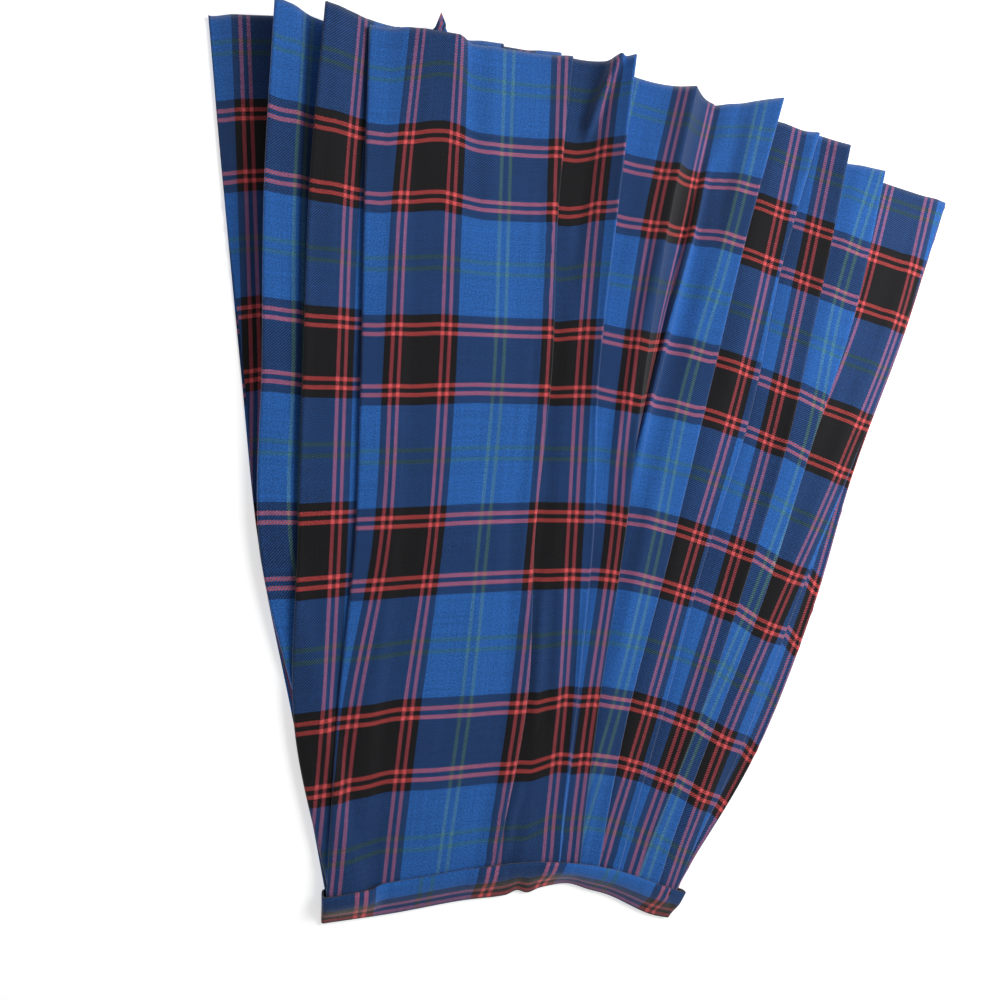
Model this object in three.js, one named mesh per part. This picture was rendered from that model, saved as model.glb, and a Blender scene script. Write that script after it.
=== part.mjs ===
// A pleated tartan skirt laid flat on its back, in millimetres, +Z up.
// The waistband lies towards -Y and the hem towards +Y. Three pieces of cloth make it:
// a front and a back, each knife pleated away from a plain centre panel, and a waistband loop.
// Each body piece is one wall of cloth, lofted through sections at fixed distances from the hem.
// A section is drawn layer by layer, from one side seam to the other, through every fold.

import * as THREE from 'three';

// ---- driving sizes -------------------------------------------------------------------------
const WALL = 1.0;             // thickness of the body cloth
const LAYER = 1.5;            // middle of one layer of cloth to the middle of the next
const LENGTH = 694;           // body cloth from the hem to the waist seam
const ALLOWANCE = 9;          // pleat tops that run on inside the waistband
const FOLD = 0.75;            // how far a fold's two layers start behind its edge
const SLOPE = 14;             // run over which a layer climbs onto its neighbour
const BACK_LAYERS = 3;        // room kept for the folded back under the front
const SEAM_GAP = 0.3;         // clearance where two pieces meet
const SIDE_RUN = 28;          // run over which the front comes down to the back at a side seam
const SIDE_EDGE = 6;           // first column in from a side seam
const STEEPEST = 1.6;         // most that a slope adds to the height that a layer takes up
const ROOMY = 40;             // a strip with less plain cloth than this has its columns spread more evenly

const BAND_WALL = 1.6;        // the waistband's doubled cloth, pressed
const BAND_LIFT = BAND_WALL + SEAM_GAP + 0.1;   // the pleat tops climb onto the band's lower wall
const BAND_RISE_FROM = 655;   // distance from the hem where that climb starts

// Distances from the hem at which the fold lines are given, and where the cloth is lofted.
const STOPS = [0, 140, 280, 420, 560, 694];
const TUCK_STOPS = [0, 230, 460, 694];
const STATIONS = [0, 40, 105, 180, 260, 340, 425, 500, 555, 605, 652, 694, LENGTH + ALLOWANCE];

// ---- front: a row for each fold edge, from the left side seam to the right -------------------
// side   which way the pleat faces: its fold edge lies on the neighbour on that side
// x      place of the fold edge at STOPS
// hem    where along Y the hem lies on the upper layer, under where it lies on the layer below
// lift   how high the fold edge springs up at the hem, curl how late the strip starts to rise
// tuck   how far the hidden fold lies behind the edge, at TUCK_STOPS (negative: it gapes open)
const FOLD_COLUMNS = ['name', 'side', 'x', 'hem', 'under', 'lift', 'curl', 'tuck'];
const FRONT_FOLDS = [
  ['left_3',  -1, [-27, -34, -35, -36, -5, 20],    406, 407, 24, 1.8, [11, 24, 18, 12]],
  ['left_2',  -1, [11, 0, -4, -7, -9, 18],         408, 406, 24, 1.8, [19, 24, 23, 19]],
  ['left_1',  -1, [46, 43, 41, 37, 24, 16.5],      404, 412,  8, 2,   [26, 27, 26, 24]],
  ['right_1',  1, [222, 208, 202, 187, 180, 154],  407, 407,  0, 3,   [3, 6, 6, 5]],
  ['right_2',  1, [272, 256, 241, 237, 223, 207],  404, 400, 30, 3.2, [6, 20, 30, 28]],
  ['right_3',  1, [331, 303, 282, 265, 243, 225],  387, 384, 22, 2.6, [-24, -10, 13, 14]],
  ['right_4',  1, [413, 377, 346, 311, 273, 243],  383, 379, 31, 1.6, [11, 20, 20, 14]],
  ['right_5',  1, [460, 420, 387, 342, 302, 260],  362, 360, 10, 1.8, [27, 27, 22, 14]],
  ['right_6',  1, [482, 455, 425, 381, 332, 279],  347, 344, 31, 2,   [19, 26, 22, 14]],
  ['right_7',  1, [524, 498, 452, 405, 350, 298],  330, 331, 25, 1.8, [17, 22, 19, 14]],
  ['right_8',  1, [606, 555, 498, 437, 380, 316],  314, 314,  3, 2,   [10, 18, 18, 12]],
].map((row) => Object.fromEntries(row.map((value, i) => [FOLD_COLUMNS[i], value])));
const LEFT_SIDE = { x: [-79, -66, -52, -34, -3, 22], hem: 401 };
const RIGHT_SIDE = { x: [610, 559, 503, 456, 396, 323], hem: 313 };

// A soft hump in the centre panel at the hem.
const HUMP = { x: 95, width: 30, height: 11, length: 190 };

// ---- back: outline and evenly spread pleats --------------------------------------------------
const BACK_LEFT = { x: [-79, -66, -52, -37, -10, 17], hem: 399 };
const BACK_HEM = {
  x: [-79, 0, 60, 140, 203, 283, 358, 425, 500, 610],
  y: [399, 404, 413, 412, 410, 394, 380, 372, 341, 311],
};
const BACK_PLEATS_A_SIDE = 5;
const BACK_PANEL = 0.2;        // the centre back panel's share of the width
const BACK_MARGIN = 0.1;       // share of the width left plain at each side seam
const BACK_TUCK = [16, 15, 13, 9];

// ---- waist -----------------------------------------------------------------------------------
const WAIST_SEAM = { x: [13, 80, 180, 249, 328], y: [-290, -285, -280, -291, -324] };
const BAND_EDGE = { x: [13, 80, 150, 188, 215, 249, 314], y: [-314, -312, -307, -302, -305, -319, -344] };
const BAND_ENDS = { left: 12.6, right: { seam: 328, edge: 314 } };
const BAND_COLUMNS = 22;
const BAND_TURN = 2;           // width of the rounded turn at each end of the band
const BAND_ROOM = 0.5;         // clearance over the pleat tops
const BAND_SHUT = 1.2;         // gap left between the band's two layers at its free edge
// The band's sections: how far up from the seam, and how far it has closed there.
const BAND_LEVELS = [{ up: 0, shut: 0 }, { up: 0.4, shut: 0 }, { up: 1, shut: 1 }];

// ---- small helpers ---------------------------------------------------------------------------
const clamp01 = (t) => Math.min(1, Math.max(0, t));
const smooth = (t) => { const c = clamp01(t); return c * c * (3 - 2 * c); };
const mix = (a, b, t) => a + (b - a) * t;

// A smooth curve through values given at increasing stops, straight beyond both ends.
function curve(stops, values) {
  const last = stops.length - 1;
  const slopes = values.map((_, i) => {
    const a = Math.max(0, i - 1);
    const b = Math.min(last, i + 1);
    return (values[b] - values[a]) / (stops[b] - stops[a]);
  });
  return (at) => {
    if (at <= stops[0]) return values[0] + slopes[0] * (at - stops[0]);
    if (at >= stops[last]) return values[last] + slopes[last] * (at - stops[last]);
    let i = 0;
    while (at > stops[i + 1]) i += 1;
    const run = stops[i + 1] - stops[i];
    const t = (at - stops[i]) / run;
    const t2 = t * t;
    const t3 = t2 * t;
    return (2 * t3 - 3 * t2 + 1) * values[i] + (t3 - 2 * t2 + t) * run * slopes[i]
      + (3 * t2 - 2 * t3) * values[i + 1] + (t3 - t2) * run * slopes[i + 1];
  };
}

const waistSeamY = curve(WAIST_SEAM.x, WAIST_SEAM.y);
const bandEdgeY = curve(BAND_EDGE.x, BAND_EDGE.y);

// Cloth can't stretch, so a line on it drops along Y by what its sideways run leaves of its length.
// The drop is scaled to end on the waist seam.
function lineOnCloth(xAt, hemY) {
  const step = 6;
  const drops = [0];
  for (let v = 0; v < LENGTH; v += step) {
    const dx = xAt(Math.min(v + step, LENGTH)) - xAt(v);
    drops.push(drops[drops.length - 1] + Math.sqrt(Math.max(1, step * step - dx * dx)));
  }
  const total = hemY - waistSeamY(xAt(LENGTH));
  const scale = total / drops[drops.length - 1];
  return (v) => {
    const at = v / step;
    const i = Math.min(drops.length - 2, Math.floor(at));
    return hemY - scale * mix(drops[i], drops[i + 1], at - i);
  };
}

// How far a layer is felt by those above it: fully over its own width, fading out beyond it.
function felt(x, from, to) {
  const low = Math.min(from, to) - FOLD - 0.5;
  const high = Math.max(from, to) + FOLD + 0.5;
  if (x < low) return smooth(1 - (low - x) / SLOPE);
  if (x > high) return smooth(1 - (x - high) / SLOPE);
  return 1;
}

const spring = (v) => (1 - clamp01(v / LENGTH)) ** 1.4;
const bandClimb = (v) => BAND_LIFT * smooth((v - BAND_RISE_FROM) / (LENGTH - BAND_RISE_FROM));

// ---- sections of a pleated piece ---------------------------------------------------------------
// Turns a row of the fold table into functions of the distance from the hem.
function foldLine(row) {
  const x = curve(STOPS, row.x);
  return {
    side: row.side,
    lift: row.lift,
    curl: row.curl,
    x,
    tuck: curve(TUCK_STOPS, row.tuck),
    upperY: lineOnCloth(x, row.hem),
    lowerY: lineOnCloth(x, row.under),
  };
}

// The layers of a section in sewing order. Each has its end points, whether it is a visible strip
// or the hidden underfold, and its depth: how many folds it lies away from the centre panel.
function layersAt(v, left, right, folds) {
  const edges = folds.map((fold) => {
    const x = fold.x(v);
    const tuck = fold.tuck(v);
    return { fold, x, tuck, hidden: x - fold.side * tuck, rise: fold.lift * spring(v) };
  });
  const panel = edges.filter((edge) => edge.fold.side < 0).length;
  const layers = [];
  for (let k = 0; k <= edges.length; k += 1) {
    const before = edges[k - 1];
    const after = edges[k];
    const strip = { kind: 'strip', depth: 2 * Math.abs(k - panel) };
    strip.from = before ? (before.fold.side < 0 ? before.x : before.hidden) : left.x(v);
    strip.to = after ? (after.fold.side < 0 ? after.hidden : after.x) : right.x(v);
    strip.before = before;
    strip.after = after;
    layers.push(strip);
    if (after) {
      const side = after.fold.side;
      layers.push({
        kind: 'underfold',
        depth: side < 0 ? 2 * (panel - k) - 1 : 2 * (k - panel) + 1,
        edge: after,
        from: side < 0 ? after.hidden : after.x,
        to: side < 0 ? after.x : after.hidden,
      });
    }
  }
  return layers;
}

// Height of a layer's middle over the floor of its piece, from the layers it lies on.
// In the front the centre panel lies highest, in the back it lies lowest.
function stacked(x, layer, layers, panelOnTop) {
  let count = 0;
  for (const other of layers) {
    const below = panelOnTop ? other.depth > layer.depth : other.depth < layer.depth;
    if (below) count += felt(x, other.from, other.to);
  }
  return count * LAYER;
}

// The columns at one end of a strip: close by a fold, then over the slope beyond the layers it lies on.
function endColumns(neighbour, isFold, end, inward, fine) {
  if (!neighbour) return [end, end + inward * SIDE_EDGE];
  const reach = Math.max(neighbour.tuck, isFold ? 8 : 3);
  const over = reach + SLOPE * (isFold ? 1 : 0.8);
  const away = fine ? [FOLD, reach / 2, reach, over] : [FOLD, reach, over];
  return away.map((d) => end + inward * d);
}

// One visible strip of a section, from where it starts to where it ends.
function stripLine(v, layer, piece, height) {
  const { left, right, extra } = piece;
  const { before, after } = layer;
  const startFold = before && before.fold.side < 0;
  const endFold = after && after.fold.side > 0;
  const yStart = before ? (startFold ? before.fold.upperY(v) : before.fold.lowerY(v)) : left.y(v);
  const yEnd = after ? (endFold ? after.fold.upperY(v) : after.fold.lowerY(v)) : right.y(v);
  const xStart = before ? before.x : left.x(v);
  const xEnd = after ? after.x : right.x(v);
  const yAt = (x) => mix(yStart, yEnd, clamp01((x - xStart) / Math.max(1, xEnd - xStart)));
  const riseAt = (x) => {
    const t = clamp01((x - layer.from) / Math.max(1, layer.to - layer.from));
    const first = startFold ? before.rise * (1 - t) ** before.fold.curl : 0;
    const last = endFold ? after.rise * t ** after.fold.curl : 0;
    return extra(x, v, layer) + first + last;
  };
  const start = endColumns(before, startFold, layer.from, 1, piece.fine);
  const end = endColumns(after, endFold, layer.to, -1, piece.fine).reverse();
  const wanted = [...start, (start[start.length - 1] + end[0]) / 2, ...end];
  const last = wanted.length - 1;
  const roomy = clamp01((end[0] - start[start.length - 1]) / ROOMY);
  const columns = wanted.map((x, i) => mix(mix(wanted[0], wanted[last], i / last), x, roomy));
  return columns.map((x) => ({ x, y: yAt(x), z: height(x) + riseAt(x) }));
}

// One hidden underfold, from the edge of the pleat back to its inner fold.
function underfoldLine(v, layer, piece, height) {
  const { edge } = layer;
  const { side, upperY, lowerY } = edge.fold;
  const near = FOLD / Math.hypot(edge.tuck, edge.rise, 2 * LAYER);
  const line = [near, ...(piece.fine ? [1 / 3, 2 / 3] : []), 1 - near].map((t) => {
    const x = edge.x - side * edge.tuck * t;
    return { x, y: mix(upperY(v), lowerY(v), t), z: height(x) + edge.rise * (1 - t) ** 1.5 };
  });
  return side < 0 ? line.reverse() : line;
}

// The stretches of a line that pass over a place x: the height there, and what one layer takes up
// along Z on that slope.
function stretchesOver(line, x) {
  const found = [];
  for (let i = 1; i < line.length; i += 1) {
    const a = line[i - 1];
    const b = line[i];
    const run = b.x - a.x;
    if (run === 0 || (a.x - x) * (b.x - x) > 0) continue;
    const layer = LAYER * Math.min(STEEPEST, Math.hypot(1, (b.z - a.z) / run));
    found.push({ a, b, z: mix(a.z, b.z, (x - a.x) / run), layer });
  }
  return found;
}

// Raises a line where it comes closer than one layer to a line under it.
function restOn(line, lower) {
  for (const point of lower) {
    for (const over of stretchesOver(line, point.x)) {
      const short = Math.max(0, point.z + over.layer - over.z);
      over.a.z += short;
      over.b.z += short;
    }
  }
  for (const point of line) {
    for (const under of stretchesOver(lower, point.x)) point.z = Math.max(point.z, under.z + under.layer);
  }
}

// Middle line of one section: points { x, y, z } from the left side seam to the right one.
// Another piece's section may lie under it.
function sectionLine(v, piece, under = []) {
  const layers = layersAt(v, piece.left, piece.right, piece.folds);
  const ends = [piece.left.x(v), piece.right.x(v)];
  const lines = layers.map((layer) => {
    const base = WALL / 2 + bandClimb(v);
    const height = (x) => base + piece.floor(x, ...ends) + stacked(x, layer, layers, piece.panelOnTop);
    return (layer.kind === 'strip' ? stripLine : underfoldLine)(v, layer, piece, height);
  });
  const order = lines.map((_, i) => i).sort((a, b) => {
    const deeper = layers[b].depth - layers[a].depth;
    return piece.panelOnTop ? deeper : -deeper;
  });
  const laid = [under];
  for (const i of order) {
    for (const lower of laid) restOn(lines[i], lower);
    laid.push(lines[i]);
  }
  return joinAtFolds(lines, layers);
}

// Joins the lines of a section, with the tip of each fold between the two layers that meet there.
// A fold that gapes open has a plain ridge there.
function joinAtFolds(lines, layers) {
  const out = [...lines[0]];
  for (let i = 1; i < lines.length; i += 1) {
    const folded = layers[i - 1].kind === 'underfold' ? layers[i - 1] : layers[i];
    const { fold, tuck } = folded.edge;
    const atEdge = (folded === layers[i]) === fold.side > 0;
    const away = (atEdge ? fold.side : -fold.side) * clamp01(tuck / (4 * FOLD));
    const a = out[out.length - 1];
    const b = lines[i][0];
    out.push({ x: (a.x + b.x) / 2 + away * FOLD, y: (a.y + b.y) / 2, z: (a.z + b.z) / 2 }, ...lines[i]);
  }
  return out;
}

// Gives a line of cloth its wall: the points moved half a wall to each side, mitred at the bends.
function wallSides(line) {
  const half = WALL / 2;
  const upper = [];
  const lower = [];
  const direction = (a, b) => {
    const dx = b.x - a.x;
    const dz = b.z - a.z;
    const size = Math.hypot(dx, dz) || 1;
    return { x: dx / size, z: dz / size };
  };
  line.forEach((point, i) => {
    const into = direction(line[Math.max(0, i - 1)], line[Math.max(1, i)]);
    const out = direction(line[Math.min(line.length - 2, i)], line[Math.min(line.length - 1, i + 1)]);
    let nx = -(into.z + out.z);
    let nz = into.x + out.x;
    const size = Math.hypot(nx, nz);
    nx /= size;
    nz /= size;
    const reach = half / Math.max(0.72, size / 2);
    upper.push(new THREE.Vector3(point.x + nx * reach, point.y, point.z + nz * reach));
    lower.push(new THREE.Vector3(point.x - nx * reach, point.y, point.z - nz * reach));
  });
  return { upper, lower };
}

// ---- closed meshes -----------------------------------------------------------------------------
function meshFrom(vertices, triangles) {
  const geometry = new THREE.BufferGeometry();
  const positions = new Float32Array(vertices.length * 3);
  vertices.forEach((p, i) => positions.set([p.x, p.y, p.z], i * 3));
  geometry.setAttribute('position', new THREE.BufferAttribute(positions, 3));
  geometry.setIndex(triangles);
  geometry.computeVertexNormals();
  return geometry;
}

// A wall lofted through sections. Each section holds two equally long rows of points.
function loftWall(sections) {
  const count = sections[0].upper.length;
  const vertices = [];
  for (const { upper, lower } of sections) vertices.push(...upper, ...lower);
  const up = (s, i) => s * 2 * count + i;
  const low = (s, i) => s * 2 * count + count + i;
  const triangles = [];
  const quad = (a, b, c, d) => triangles.push(a, b, c, a, c, d);
  const lastSection = sections.length - 1;
  for (let s = 0; s < lastSection; s += 1) {
    for (let i = 0; i < count - 1; i += 1) {
      // Where the cloth runs back under itself the quads are split along their other diagonal, so
      // that the triangles of layers lying on each other slope alike.
      const forward = vertices[up(s, i + 1)].x > vertices[up(s, i)].x;
      const top = [up(s, i), up(s + 1, i), up(s + 1, i + 1), up(s, i + 1)];
      const under = [low(s + 1, i + 1), low(s + 1, i), low(s, i), low(s, i + 1)];
      for (const corners of [top, under]) {
        if (!forward) corners.push(corners.shift());
        quad(...corners);
      }
    }
    quad(up(s, 0), low(s, 0), low(s + 1, 0), up(s + 1, 0));
    quad(up(s, count - 1), up(s + 1, count - 1), low(s + 1, count - 1), low(s, count - 1));
  }
  for (let i = 0; i < count - 1; i += 1) {
    quad(up(0, i), up(0, i + 1), low(0, i + 1), low(0, i));
    quad(up(lastSection, i), low(lastSection, i), low(lastSection, i + 1), up(lastSection, i + 1));
  }
  return meshFrom(vertices, triangles);
}

// A closed loop of wall lofted through rings of corners, each with an outer and an inner height.
function loftRings(rings) {
  const size = rings[0].length;
  const vertices = [];
  for (const ring of rings) {
    vertices.push(...ring.map((c) => new THREE.Vector3(c.x, c.y, c.outer)));
    vertices.push(...ring.map((c) => new THREE.Vector3(c.insideX ?? c.x, c.y, c.inner)));
  }
  const outer = (s, i) => s * 2 * size + (i % size);
  const inner = (s, i) => s * 2 * size + size + (i % size);
  const triangles = [];
  const quad = (a, b, c, d) => triangles.push(a, b, c, a, c, d);
  const last = rings.length - 1;
  for (let i = 0; i < size; i += 1) {
    for (let s = 0; s < last; s += 1) {
      quad(outer(s, i), outer(s + 1, i), outer(s + 1, i + 1), outer(s, i + 1));
      quad(inner(s, i), inner(s, i + 1), inner(s + 1, i + 1), inner(s + 1, i));
    }
    quad(outer(0, i), outer(0, i + 1), inner(0, i + 1), inner(0, i));
    quad(outer(last, i), inner(last, i), inner(last, i + 1), outer(last, i + 1));
  }
  return meshFrom(vertices, triangles);
}

// ---- the pieces ----------------------------------------------------------------------------------
function sideSeam(row) {
  const x = curve(STOPS, row.x);
  return { x, y: lineOnCloth(x, row.hem) };
}

// The front lies over the folded back, and comes down to it at both side seams.
function frontFloor(x, leftX, rightX) {
  const inward = Math.min(x - leftX, rightX - x);
  const full = BACK_LAYERS * LAYER;
  return mix(WALL + SEAM_GAP, full, smooth(inward / SIDE_RUN));
}

function centreHump(x, v, layer) {
  if (layer.depth !== 0) return 0;
  const across = Math.exp(-(((x - HUMP.x) / HUMP.width) ** 2));
  return HUMP.height * across * (1 - clamp01(v / HUMP.length)) ** 2;
}

function frontPiece() {
  return {
    left: sideSeam(LEFT_SIDE),
    right: sideSeam(RIGHT_SIDE),
    folds: FRONT_FOLDS.map(foldLine),
    panelOnTop: true,
    fine: true,
    floor: frontFloor,
    extra: centreHump,
  };
}

function backPiece() {
  const left = sideSeam(BACK_LEFT);
  const right = sideSeam(RIGHT_SIDE);
  const hemAt = curve(BACK_HEM.x, BACK_HEM.y);
  const tuck = curve(TUCK_STOPS, BACK_TUCK);
  const folds = [];
  const reach = (1 - BACK_PANEL) / 2 - BACK_MARGIN;
  for (let k = -BACK_PLEATS_A_SIDE; k <= BACK_PLEATS_A_SIDE; k += 1) {
    if (k === 0) continue;
    const side = Math.sign(k);
    const share = 0.5 + side * (BACK_PANEL / 2 + (reach * (Math.abs(k) - 1)) / (BACK_PLEATS_A_SIDE - 1));
    const x = (v) => mix(left.x(v), right.x(v), share);
    const y = lineOnCloth(x, hemAt(x(0)));
    folds.push({ side, lift: 0, curl: 1, x, tuck, upperY: y, lowerY: y });
  }
  return { left, right, folds, panelOnTop: false, fine: false, floor: () => 0, extra: () => 0 };
}

const back = backPiece();
const front = frontPiece();
const backLine = (v) => sectionLine(v, back);
const frontLine = (v) => sectionLine(v, front, backLine(v));

function pleatedBody(lineAt) {
  return loftWall(STATIONS.map((v) => wallSides(lineAt(v))));
}

// The waistband: a flattened loop around the pleat tops, closing to two layers at its free edge.
// Each level is a ring of corners { x, y, outer, inner }, from its left end over the front to its
// right end and back under the skirt.
function waistband() {
  const pleatTops = [LENGTH, LENGTH + ALLOWANCE].map(frontLine);
  const openTo = (x) => {
    const around = [-9, -6, -3, 0, 3, 6, 9].map((aside) => x + aside);
    const over = pleatTops.flatMap((line) => around.flatMap((at) => stretchesOver(line, at)));
    return Math.max(...over.map((stretch) => stretch.z)) + WALL / 2 + BAND_ROOM;
  };
  const rings = BAND_LEVELS.map(({ up, shut }) => {
    const right = mix(BAND_ENDS.right.seam, BAND_ENDS.right.edge, up);
    const low = [];
    const high = [];
    for (let i = 0; i <= BAND_COLUMNS; i += 1) {
      const x = mix(BAND_ENDS.left + BAND_TURN, right - BAND_TURN, i / BAND_COLUMNS);
      const y = mix(waistSeamY(x), bandEdgeY(x), up);
      const inner = mix(openTo(x), BAND_WALL + BAND_SHUT, shut);
      high.push({ x, y, inner, outer: inner + BAND_WALL });
      low.push({ x, y, inner: BAND_WALL, outer: 0 });
    }
    const end = (x, toInside, beside) => {
      const z = (beside.inner + BAND_WALL) / 2;
      return { x, insideX: x + toInside, y: beside.y, inner: z, outer: z };
    };
    const first = end(BAND_ENDS.left, BAND_WALL, high[0]);
    const last = end(right, -BAND_WALL, high[BAND_COLUMNS]);
    return [first, ...high, last, ...low.reverse()];
  });
  return loftRings(rings);
}

// ---- the skirt ---------------------------------------------------------------------------------
function cloth(name, geometry, color) {
  const material = new THREE.MeshStandardMaterial({ color, roughness: 0.85, metalness: 0 });
  const mesh = new THREE.Mesh(geometry, material);
  mesh.name = name;
  return mesh;
}

const skirt = new THREE.Group();
skirt.add(cloth('skirt_front', pleatedBody(frontLine), 0x2a5aa0));
skirt.add(cloth('skirt_back', pleatedBody(backLine), 0x26406e));
skirt.add(cloth('waistband', waistband(), 0x2f66ad));

// The origin is on the table, under the middle of the skirt.
const size = new THREE.Box3().setFromObject(skirt);
const middle = size.getCenter(new THREE.Vector3());
skirt.position.set(-middle.x, -middle.y, -size.min.z);
skirt.updateMatrixWorld(true);

export default skirt;
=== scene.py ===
# %% [markdown]
# # A pleated tartan skirt, laid flat
#
# The real thing is three pieces of cloth: a front and a back, each a wide length of tartan folded
# into knife pleats away from a plain centre panel, and a straight waistband that holds the folded
# tops. Laid on a table, the pleats fan out from the narrow waist and stand up a little at the hem.
#
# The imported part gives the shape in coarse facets. Here each piece is made again as a thin sheet
# with the same folds, fine enough to carry soft creases, and with a flat map of its cloth so that
# the check runs along every fold as it does on real woven cloth. Cloth simulation could drape such
# a skirt too, but it would lay the folds where it likes. Numbers in tables put each fold and crease
# where it belongs, and give the same skirt on every run.

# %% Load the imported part
import math

import bmesh
import bpy
import numpy as np
from mathutils import Matrix, Vector


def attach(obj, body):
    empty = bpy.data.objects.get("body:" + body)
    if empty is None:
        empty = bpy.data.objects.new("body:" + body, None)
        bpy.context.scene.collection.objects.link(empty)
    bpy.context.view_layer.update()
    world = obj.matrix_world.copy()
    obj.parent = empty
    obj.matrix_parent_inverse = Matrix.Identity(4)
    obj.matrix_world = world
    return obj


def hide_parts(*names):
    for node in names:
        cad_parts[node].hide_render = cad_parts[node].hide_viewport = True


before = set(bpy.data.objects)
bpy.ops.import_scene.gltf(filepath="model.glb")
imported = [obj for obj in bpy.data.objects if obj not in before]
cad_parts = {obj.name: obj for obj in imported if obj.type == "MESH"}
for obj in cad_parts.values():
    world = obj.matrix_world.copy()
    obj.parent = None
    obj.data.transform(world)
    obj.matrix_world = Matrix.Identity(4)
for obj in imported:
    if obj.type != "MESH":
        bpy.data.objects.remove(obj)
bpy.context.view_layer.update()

# %% [markdown]
# ## The camera
#
# It hangs above the left part of the skirt and is turned a little to the right, so the far side
# looks narrower and the standing folds hide a little of what lies behind them. The cloth is worked
# out in millimetres from the point on the table below the camera, because that keeps the numbers
# short. `OVER` is where that point lies in the part's own frame, in metres.

# %% Camera
MM = 0.001
OVER = (-0.26549, -0.03511, 0.0)
CAMERA_HEIGHT = 0.659
CAMERA_TILT = math.radians(1.71)
CAMERA_PAN = math.radians(-13.52)

lens = bpy.data.cameras.new("camera")
lens.lens = 28.8
lens.sensor_width = 36.0
camera = bpy.data.objects.new("camera", lens)
camera.matrix_world = (
    Matrix.Translation((OVER[0], OVER[1], CAMERA_HEIGHT))
    @ Matrix.Rotation(CAMERA_PAN, 4, "Y")
    @ Matrix.Rotation(CAMERA_TILT, 4, "X")
)
bpy.context.collection.objects.link(camera)
bpy.context.scene.camera = camera
print("camera at", [round(c, 3) for c in camera.matrix_world.translation])

# %% [markdown]
# ## The sizes of the cloth
#
# A knife pleat is three layers: the strip that shows, the underfold behind its edge, and the next
# strip, which starts under both. So a row for each fold edge is enough to draw the whole skirt: how
# far across it lies at six distances from the hem, how high it stands at the hem, and how deep the
# hidden fold is. Sizes are in millimetres, as on a pattern cutter's sheet.

# %% Sizes in millimetres
LENGTH = 694            # body cloth from the hem to the waist seam
ALLOWANCE = 9           # pleat tops inside the waistband
WALL = 1.0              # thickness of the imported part's walls
LAYER = 1.5             # middle of one layer to the middle of the next
FOLD = 0.75             # how far a fold's two layers start behind its edge
SLOPE = 14              # run over which a layer climbs onto its neighbour
STEEPEST = 1.6          # most that a slope adds to the height of a layer
CLOTH = 0.8 * MM        # thickness of the finished sheets, in metres
BAND_CLOTH = 0.6 * MM
BAND_WALL = 1.6         # the waistband's doubled cloth
BAND_LIFT = 2.0         # how far the body rises into the waistband, and from where
BAND_RISE_FROM = 655
BACK_LAYERS = 3         # layers of the folded back under the front
SEAM_GAP = 0.3
SIDE_RUN = 28           # run over which the front comes down to a side seam

STOPS = (0, 140, 280, 420, 560, 694)      # distances from the hem
TUCK_STOPS = (0, 230, 460, 694)

# Each row says: side, x, hem, under, lift, curl, tuck.
# side: -1 faces left, 1 faces right. x: place of the edge at STOPS. hem, under: where the hem lies
# along Y on the upper layer and on the one below. lift, curl: how the edge stands up at the hem.
# tuck: depth of the hidden fold at TUCK_STOPS; below 0 the fold gapes open.
FRONT_FOLDS = {
    "left_3": (-1, (-27, -34, -35, -36, -5, 20), 406, 407, 24, 1.8, (11, 24, 18, 12)),
    "left_2": (-1, (11, 0, -4, -7, -9, 18), 408, 406, 24, 1.8, (19, 24, 23, 19)),
    "left_1": (-1, (46, 43, 41, 37, 24, 16.5), 404, 412, 8, 2, (26, 27, 26, 24)),
    "right_1": (1, (222, 208, 202, 187, 180, 154), 407, 407, 0, 3, (3, 6, 6, 5)),
    "right_2": (1, (272, 256, 241, 237, 223, 207), 403, 400, 23, 2.6, (6, 20, 30, 28)),
    "right_3": (1, (331, 303, 282, 265, 243, 225), 385, 382, 20, 2.6, (-27, -15, 12, 14)),
    "right_4": (1, (412, 375, 342, 308, 271, 242), 381, 377, 26, 1.1, (11, 20, 20, 14)),
    "right_5": (1, (458, 419, 387, 342, 302, 260), 361, 360, 6, 1.8, (27, 27, 22, 14)),
    "right_6": (1, (481, 453, 421, 379, 331, 278), 346, 344, 25, 1.6, (19, 26, 22, 14)),
    "right_7": (1, (524, 493, 447, 402, 348, 297), 330, 331, 17, 1.6, (17, 22, 19, 14)),
    "right_8": (1, (606, 555, 498, 437, 380, 316), 314, 314, 3, 2, (10, 18, 18, 12)),
}
# A side seam: its place across at STOPS, and where its hem end lies along Y.
LEFT_SIDE = ((-79, -66, -50, -37, -8, 16), 401)
RIGHT_SIDE = ((610, 559, 503, 456, 396, 318), 313)
print(len(FRONT_FOLDS), "pleats across the front")

# %% [markdown]
# ## Creases
#
# Between the folds the cloth isn't flat. It holds soft ridges where it was pressed or gripped, each
# a little different. Sculpting them would work too, but a table can be read and changed. The centre
# panel also stands up in one flat-topped hump at the hem, and the strip beside it has one short,
# sharp ridge there. A single fold of the back stands up behind the front's hem as a small dark tip.

# %% Creases
HUMP = {"foot": 58, "crest": (92, 119), "far_foot": 134, "height": 11, "length": 190}
TIP = {"x": 104, "left": 4, "right": 10, "out": 7, "height": 17}

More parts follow.
